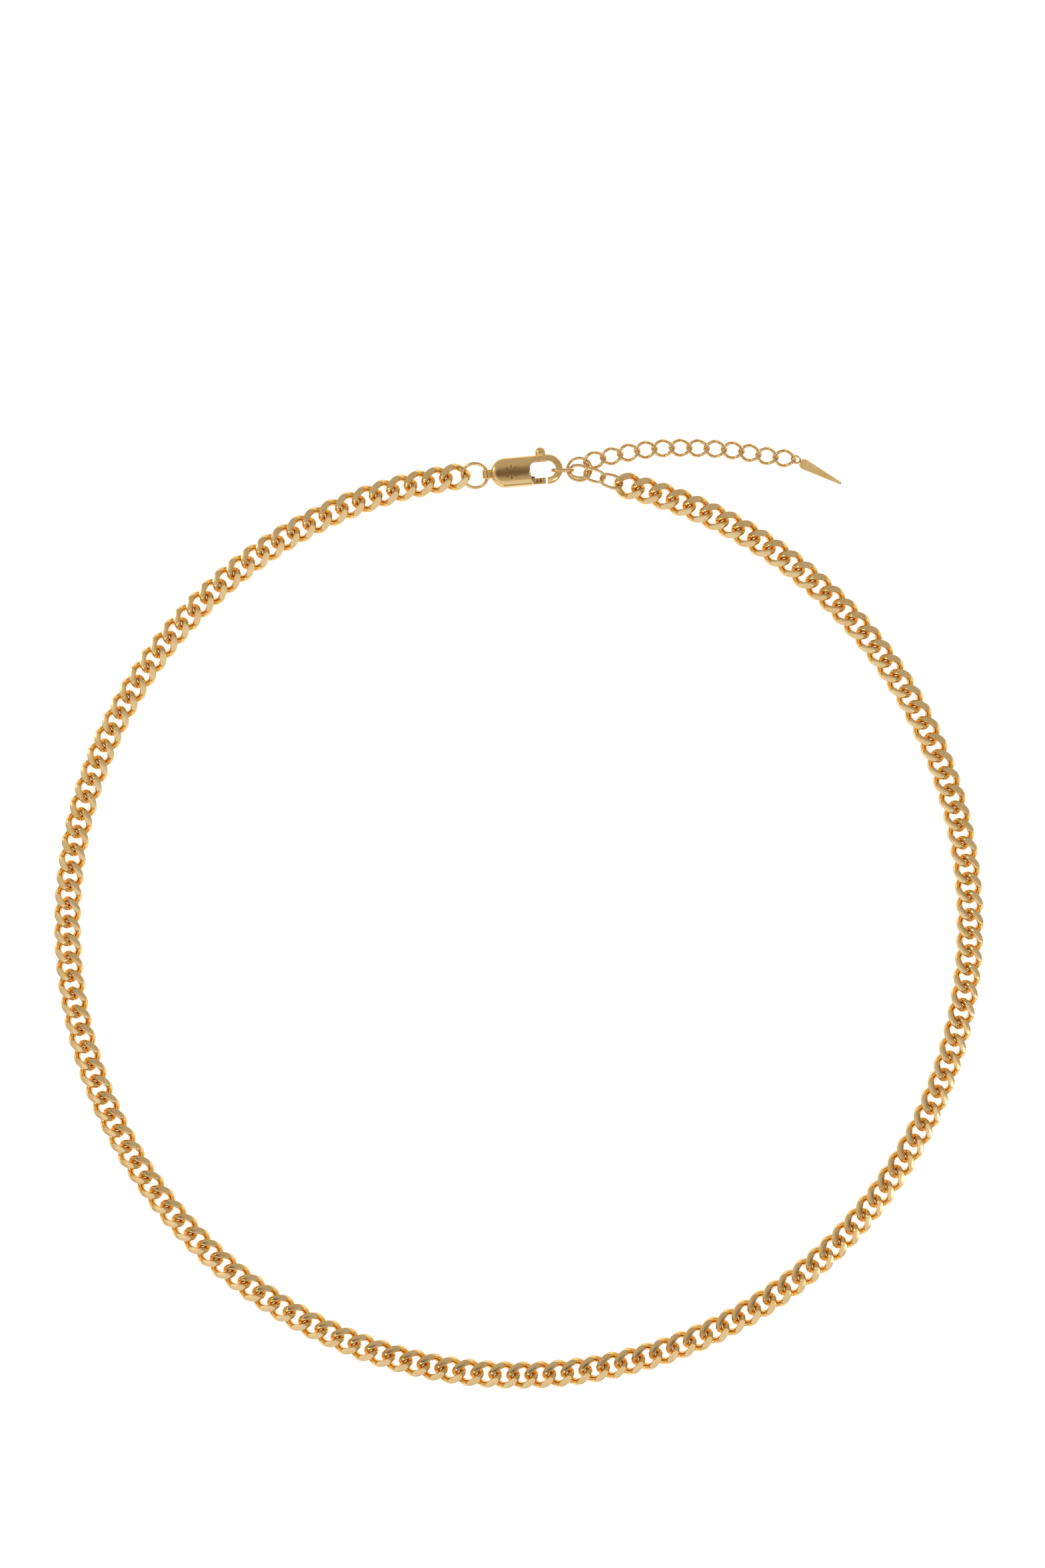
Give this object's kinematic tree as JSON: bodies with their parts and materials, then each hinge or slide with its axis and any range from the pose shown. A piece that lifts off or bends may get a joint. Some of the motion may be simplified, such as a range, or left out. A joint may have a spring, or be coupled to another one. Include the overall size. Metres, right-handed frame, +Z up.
{
  "type": "chain necklace",
  "caption": "Curb-link necklace with ground facets, a lobster clasp, small joining rings, an extender chain and a pointed spike charm.",
  "frame": {"origin": "middle of the neck opening, level with the surface the necklace lies on", "axes": "+Y towards the clasp, +X towards the extender, +Z up out of the flat loop"},
  "size_m": [0.1394, 0.1424, 0.0024],
  "materials": {
    "chain_gold": "polished, with ground facets",
    "ring_gold": "polished wire",
    "clasp_gold": "polished casting",
    "spring_gold": "plain"
  },
  "bodies": {
    "front": {"chain_front_1": "chain_gold", "chain_front_2": "chain_gold"},
    "band_8": {"chain_left_15": "chain_gold", "chain_left_16": "chain_gold", "chain_right_15": "chain_gold", "chain_right_16": "chain_gold"},
    "band_7": {"chain_left_13": "chain_gold", "chain_left_14": "chain_gold", "chain_right_13": "chain_gold", "chain_right_14": "chain_gold"},
    "band_6": {"chain_left_11": "chain_gold", "chain_left_12": "chain_gold", "chain_right_11": "chain_gold", "chain_right_12": "chain_gold"},
    "band_5": {"chain_left_9": "chain_gold", "chain_left_10": "chain_gold", "chain_right_9": "chain_gold", "chain_right_10": "chain_gold"},
    "band_4": {"chain_left_7": "chain_gold", "chain_left_8": "chain_gold", "chain_right_7": "chain_gold", "chain_right_8": "chain_gold"},
    "band_3": {"chain_left_5": "chain_gold", "chain_left_6": "chain_gold", "chain_right_5": "chain_gold", "chain_right_6": "chain_gold"},
    "band_2": {"chain_left_3": "chain_gold", "chain_left_4": "chain_gold", "chain_right_3": "chain_gold", "chain_right_4": "chain_gold"},
    "band_1": {"chain_left_1": "chain_gold", "chain_left_2": "chain_gold", "chain_right_1": "chain_gold", "chain_right_2": "chain_gold"},
    "jump_ring": {"jump_ring": "ring_gold"},
    "clasp": {"clasp_body": "clasp_gold", "clasp_rivet": "spring_gold", "clasp_spring": "spring_gold", "clasp_bail": "clasp_gold"},
    "lever": {"clasp_lever": "clasp_gold"},
    "catch_link": {"catch_link": "ring_gold"},
    "tail_ring_1": {"tail_ring_1": "ring_gold"},
    "tail_ring_2": {"tail_ring_2": "ring_gold"},
    "tail_ring_3": {"tail_ring_3": "ring_gold"},
    "hub_ring": {"hub_ring": "ring_gold"},
    "extender_link_1": {"extender_link_1": "ring_gold"},
    "extender_link_2": {"extender_link_2": "ring_gold"},
    "extender_link_3": {"extender_link_3": "ring_gold"},
    "extender_link_4": {"extender_link_4": "ring_gold"},
    "extender_link_5": {"extender_link_5": "ring_gold"},
    "extender_link_6": {"extender_link_6": "ring_gold"},
    "extender_link_7": {"extender_link_7": "ring_gold"},
    "extender_link_8": {"extender_link_8": "ring_gold"},
    "extender_link_9": {"extender_link_9": "ring_gold"},
    "extender_link_10": {"extender_link_10": "ring_gold"},
    "extender_link_11": {"extender_link_11": "ring_gold"},
    "extender_link_12": {"extender_link_12": "ring_gold"},
    "spike": {"spike_eye": "ring_gold", "spike": "clasp_gold"}
  },
  "joints": [
    {"name": "fold_8", "type": "hinge", "parent": "front", "child": "band_8", "pos_m": [-0.00077, -0.06111, 0.00096], "axis": [0.9999, -0.0126, 0], "range_deg": [-10, 12]},
    {"name": "fold_7", "type": "hinge", "parent": "band_8", "child": "band_7", "pos_m": [-0.00062, -0.0489, 0.00096], "axis": [0.9999, -0.0126, 0], "range_deg": [-10, 12]},
    {"name": "fold_6", "type": "hinge", "parent": "band_7", "child": "band_6", "pos_m": [-0.0004, -0.0317, 0.00096], "axis": [0.9999, -0.0126, 0], "range_deg": [-10, 12]},
    {"name": "fold_5", "type": "hinge", "parent": "band_6", "child": "band_5", "pos_m": [-0.00014, -0.01127, 0.00096], "axis": [0.9999, -0.0126, 0], "range_deg": [-10, 12]},
    {"name": "fold_4", "type": "hinge", "parent": "band_5", "child": "band_4", "pos_m": [0.00013, 0.01031, 0.00096], "axis": [0.9999, -0.0126, 0], "range_deg": [-10, 12]},
    {"name": "fold_3", "type": "hinge", "parent": "band_4", "child": "band_3", "pos_m": [0.00039, 0.03084, 0.00096], "axis": [0.9999, -0.0126, 0], "range_deg": [-10, 12]},
    {"name": "fold_2", "type": "hinge", "parent": "band_3", "child": "band_2", "pos_m": [0.00061, 0.04823, 0.00096], "axis": [0.9999, -0.0126, 0], "range_deg": [-10, 12]},
    {"name": "fold_1", "type": "hinge", "parent": "band_2", "child": "band_1", "pos_m": [0.00077, 0.06069, 0.00096], "axis": [0.9999, -0.0126, 0], "range_deg": [-10, 12]},
    {"name": "jump_ring_roll", "type": "hinge", "parent": "band_1", "child": "jump_ring", "pos_m": [-0.00656, 0.0673, 0.00115], "axis": [0.9993, -0.0067, 0.0356], "range_deg": [-4, 4]},
    {"name": "clasp_roll", "type": "hinge", "parent": "band_1", "child": "clasp", "pos_m": [0.00015, 0.06762, 0.00121], "axis": [0.9974, 0.0721, 0.0016], "range_deg": [-4, 4]},
    {"name": "lever_pivot", "type": "hinge", "parent": "clasp", "child": "lever", "pos_m": [0.00064, 0.06683, 0.0012], "axis": [0, 0, 1], "range_deg": [0, 18], "stiffness_Nm_per_rad": 0.0002, "deforming": ["clasp_spring"]},
    {"name": "catch_link_roll", "type": "hinge", "parent": "band_1", "child": "catch_link", "pos_m": [0.00658, 0.0679, 0.00122], "axis": [1, 0, 0], "range_deg": [-4, 3]},
    {"name": "tail_ring_1_roll", "type": "hinge", "parent": "band_1", "child": "tail_ring_1", "pos_m": [0.00901, 0.06772, 0.00137], "axis": [0.9817, -0.1717, 0.0819], "range_deg": [-4, 4]},
    {"name": "tail_ring_2_roll", "type": "hinge", "parent": "band_1", "child": "tail_ring_2", "pos_m": [0.01134, 0.06712, 0.0013], "axis": [0.937, -0.3359, -0.0958], "range_deg": [-3, 4]},
    {"name": "tail_ring_3_roll", "type": "hinge", "parent": "band_1", "child": "tail_ring_3", "pos_m": [0.01388, 0.06628, 0.00108], "axis": [0.9609, -0.2596, -0.0958], "range_deg": [-4, 4]},
    {"name": "hub_ring_roll", "type": "hinge", "parent": "catch_link", "child": "hub_ring", "pos_m": [0.00878, 0.06741, 0.00104], "axis": [0.9122, -0.3904, 0.1244], "range_deg": [-4, 4]},
    {"name": "extender_1", "type": "hinge", "parent": "hub_ring", "child": "extender_link_1", "pos_m": [0.00996, 0.06934, 0.00068], "axis": [0.2246, -0.9744, 0], "range_deg": [-8, 8]},
    {"name": "extender_2", "type": "hinge", "parent": "extender_link_1", "child": "extender_link_2", "pos_m": [0.01264, 0.06978, 0.00079], "axis": [0.2204, -0.9754, 0], "range_deg": [-12, 12]},
    {"name": "extender_3", "type": "hinge", "parent": "extender_link_2", "child": "extender_link_3", "pos_m": [0.01519, 0.07034, 0.00079], "axis": [0.2033, -0.9791, 0], "range_deg": [-12, 12]},
    {"name": "extender_4", "type": "hinge", "parent": "extender_link_3", "child": "extender_link_4", "pos_m": [0.01776, 0.07081, 0.00079], "axis": [0.1561, -0.9877, 0], "range_deg": [-12, 12]},
    {"name": "extender_5", "type": "hinge", "parent": "extender_link_4", "child": "extender_link_5", "pos_m": [0.02034, 0.07113, 0.00079], "axis": [0.0912, -0.9958, 0], "range_deg": [-12, 12]},
    {"name": "extender_6", "type": "hinge", "parent": "extender_link_5", "child": "extender_link_6", "pos_m": [0.02295, 0.07128, 0.00079], "axis": [0.0258, -0.9997, 0], "range_deg": [-12, 12]},
    {"name": "extender_7", "type": "hinge", "parent": "extender_link_6", "child": "extender_link_7", "pos_m": [0.02555, 0.07129, 0.00079], "axis": [-0.0222, -0.9998, 0], "range_deg": [-12, 12]},
    {"name": "extender_8", "type": "hinge", "parent": "extender_link_7", "child": "extender_link_8", "pos_m": [0.02816, 0.0712, 0.00079], "axis": [-0.044, -0.999, 0], "range_deg": [-12, 12]},
    {"name": "extender_9", "type": "hinge", "parent": "extender_link_8", "child": "extender_link_9", "pos_m": [0.03077, 0.07103, 0.00079], "axis": [-0.0832, -0.9965, 0], "range_deg": [-12, 12]},
    {"name": "extender_10", "type": "hinge", "parent": "extender_link_9", "child": "extender_link_10", "pos_m": [0.03336, 0.07073, 0.00079], "axis": [-0.1525, -0.9883, 0], "range_deg": [-12, 12]},
    {"name": "extender_11", "type": "hinge", "parent": "extender_link_10", "child": "extender_link_11", "pos_m": [0.03593, 0.0703, 0.00079], "axis": [-0.174, -0.9847, 0], "range_deg": [-12, 12]},
    {"name": "extender_12", "type": "hinge", "parent": "extender_link_11", "child": "extender_link_12", "pos_m": [0.03851, 0.06991, 0.00079], "axis": [-0.1222, -0.9925, 0], "range_deg": [-12, 12]},
    {"name": "spike_swing", "type": "hinge", "parent": "extender_link_12", "child": "spike", "pos_m": [0.04138, 0.06962, 0.00079], "axis": [-0.4621, -0.8868, 0], "range_deg": [-12, 12]}
  ]
}
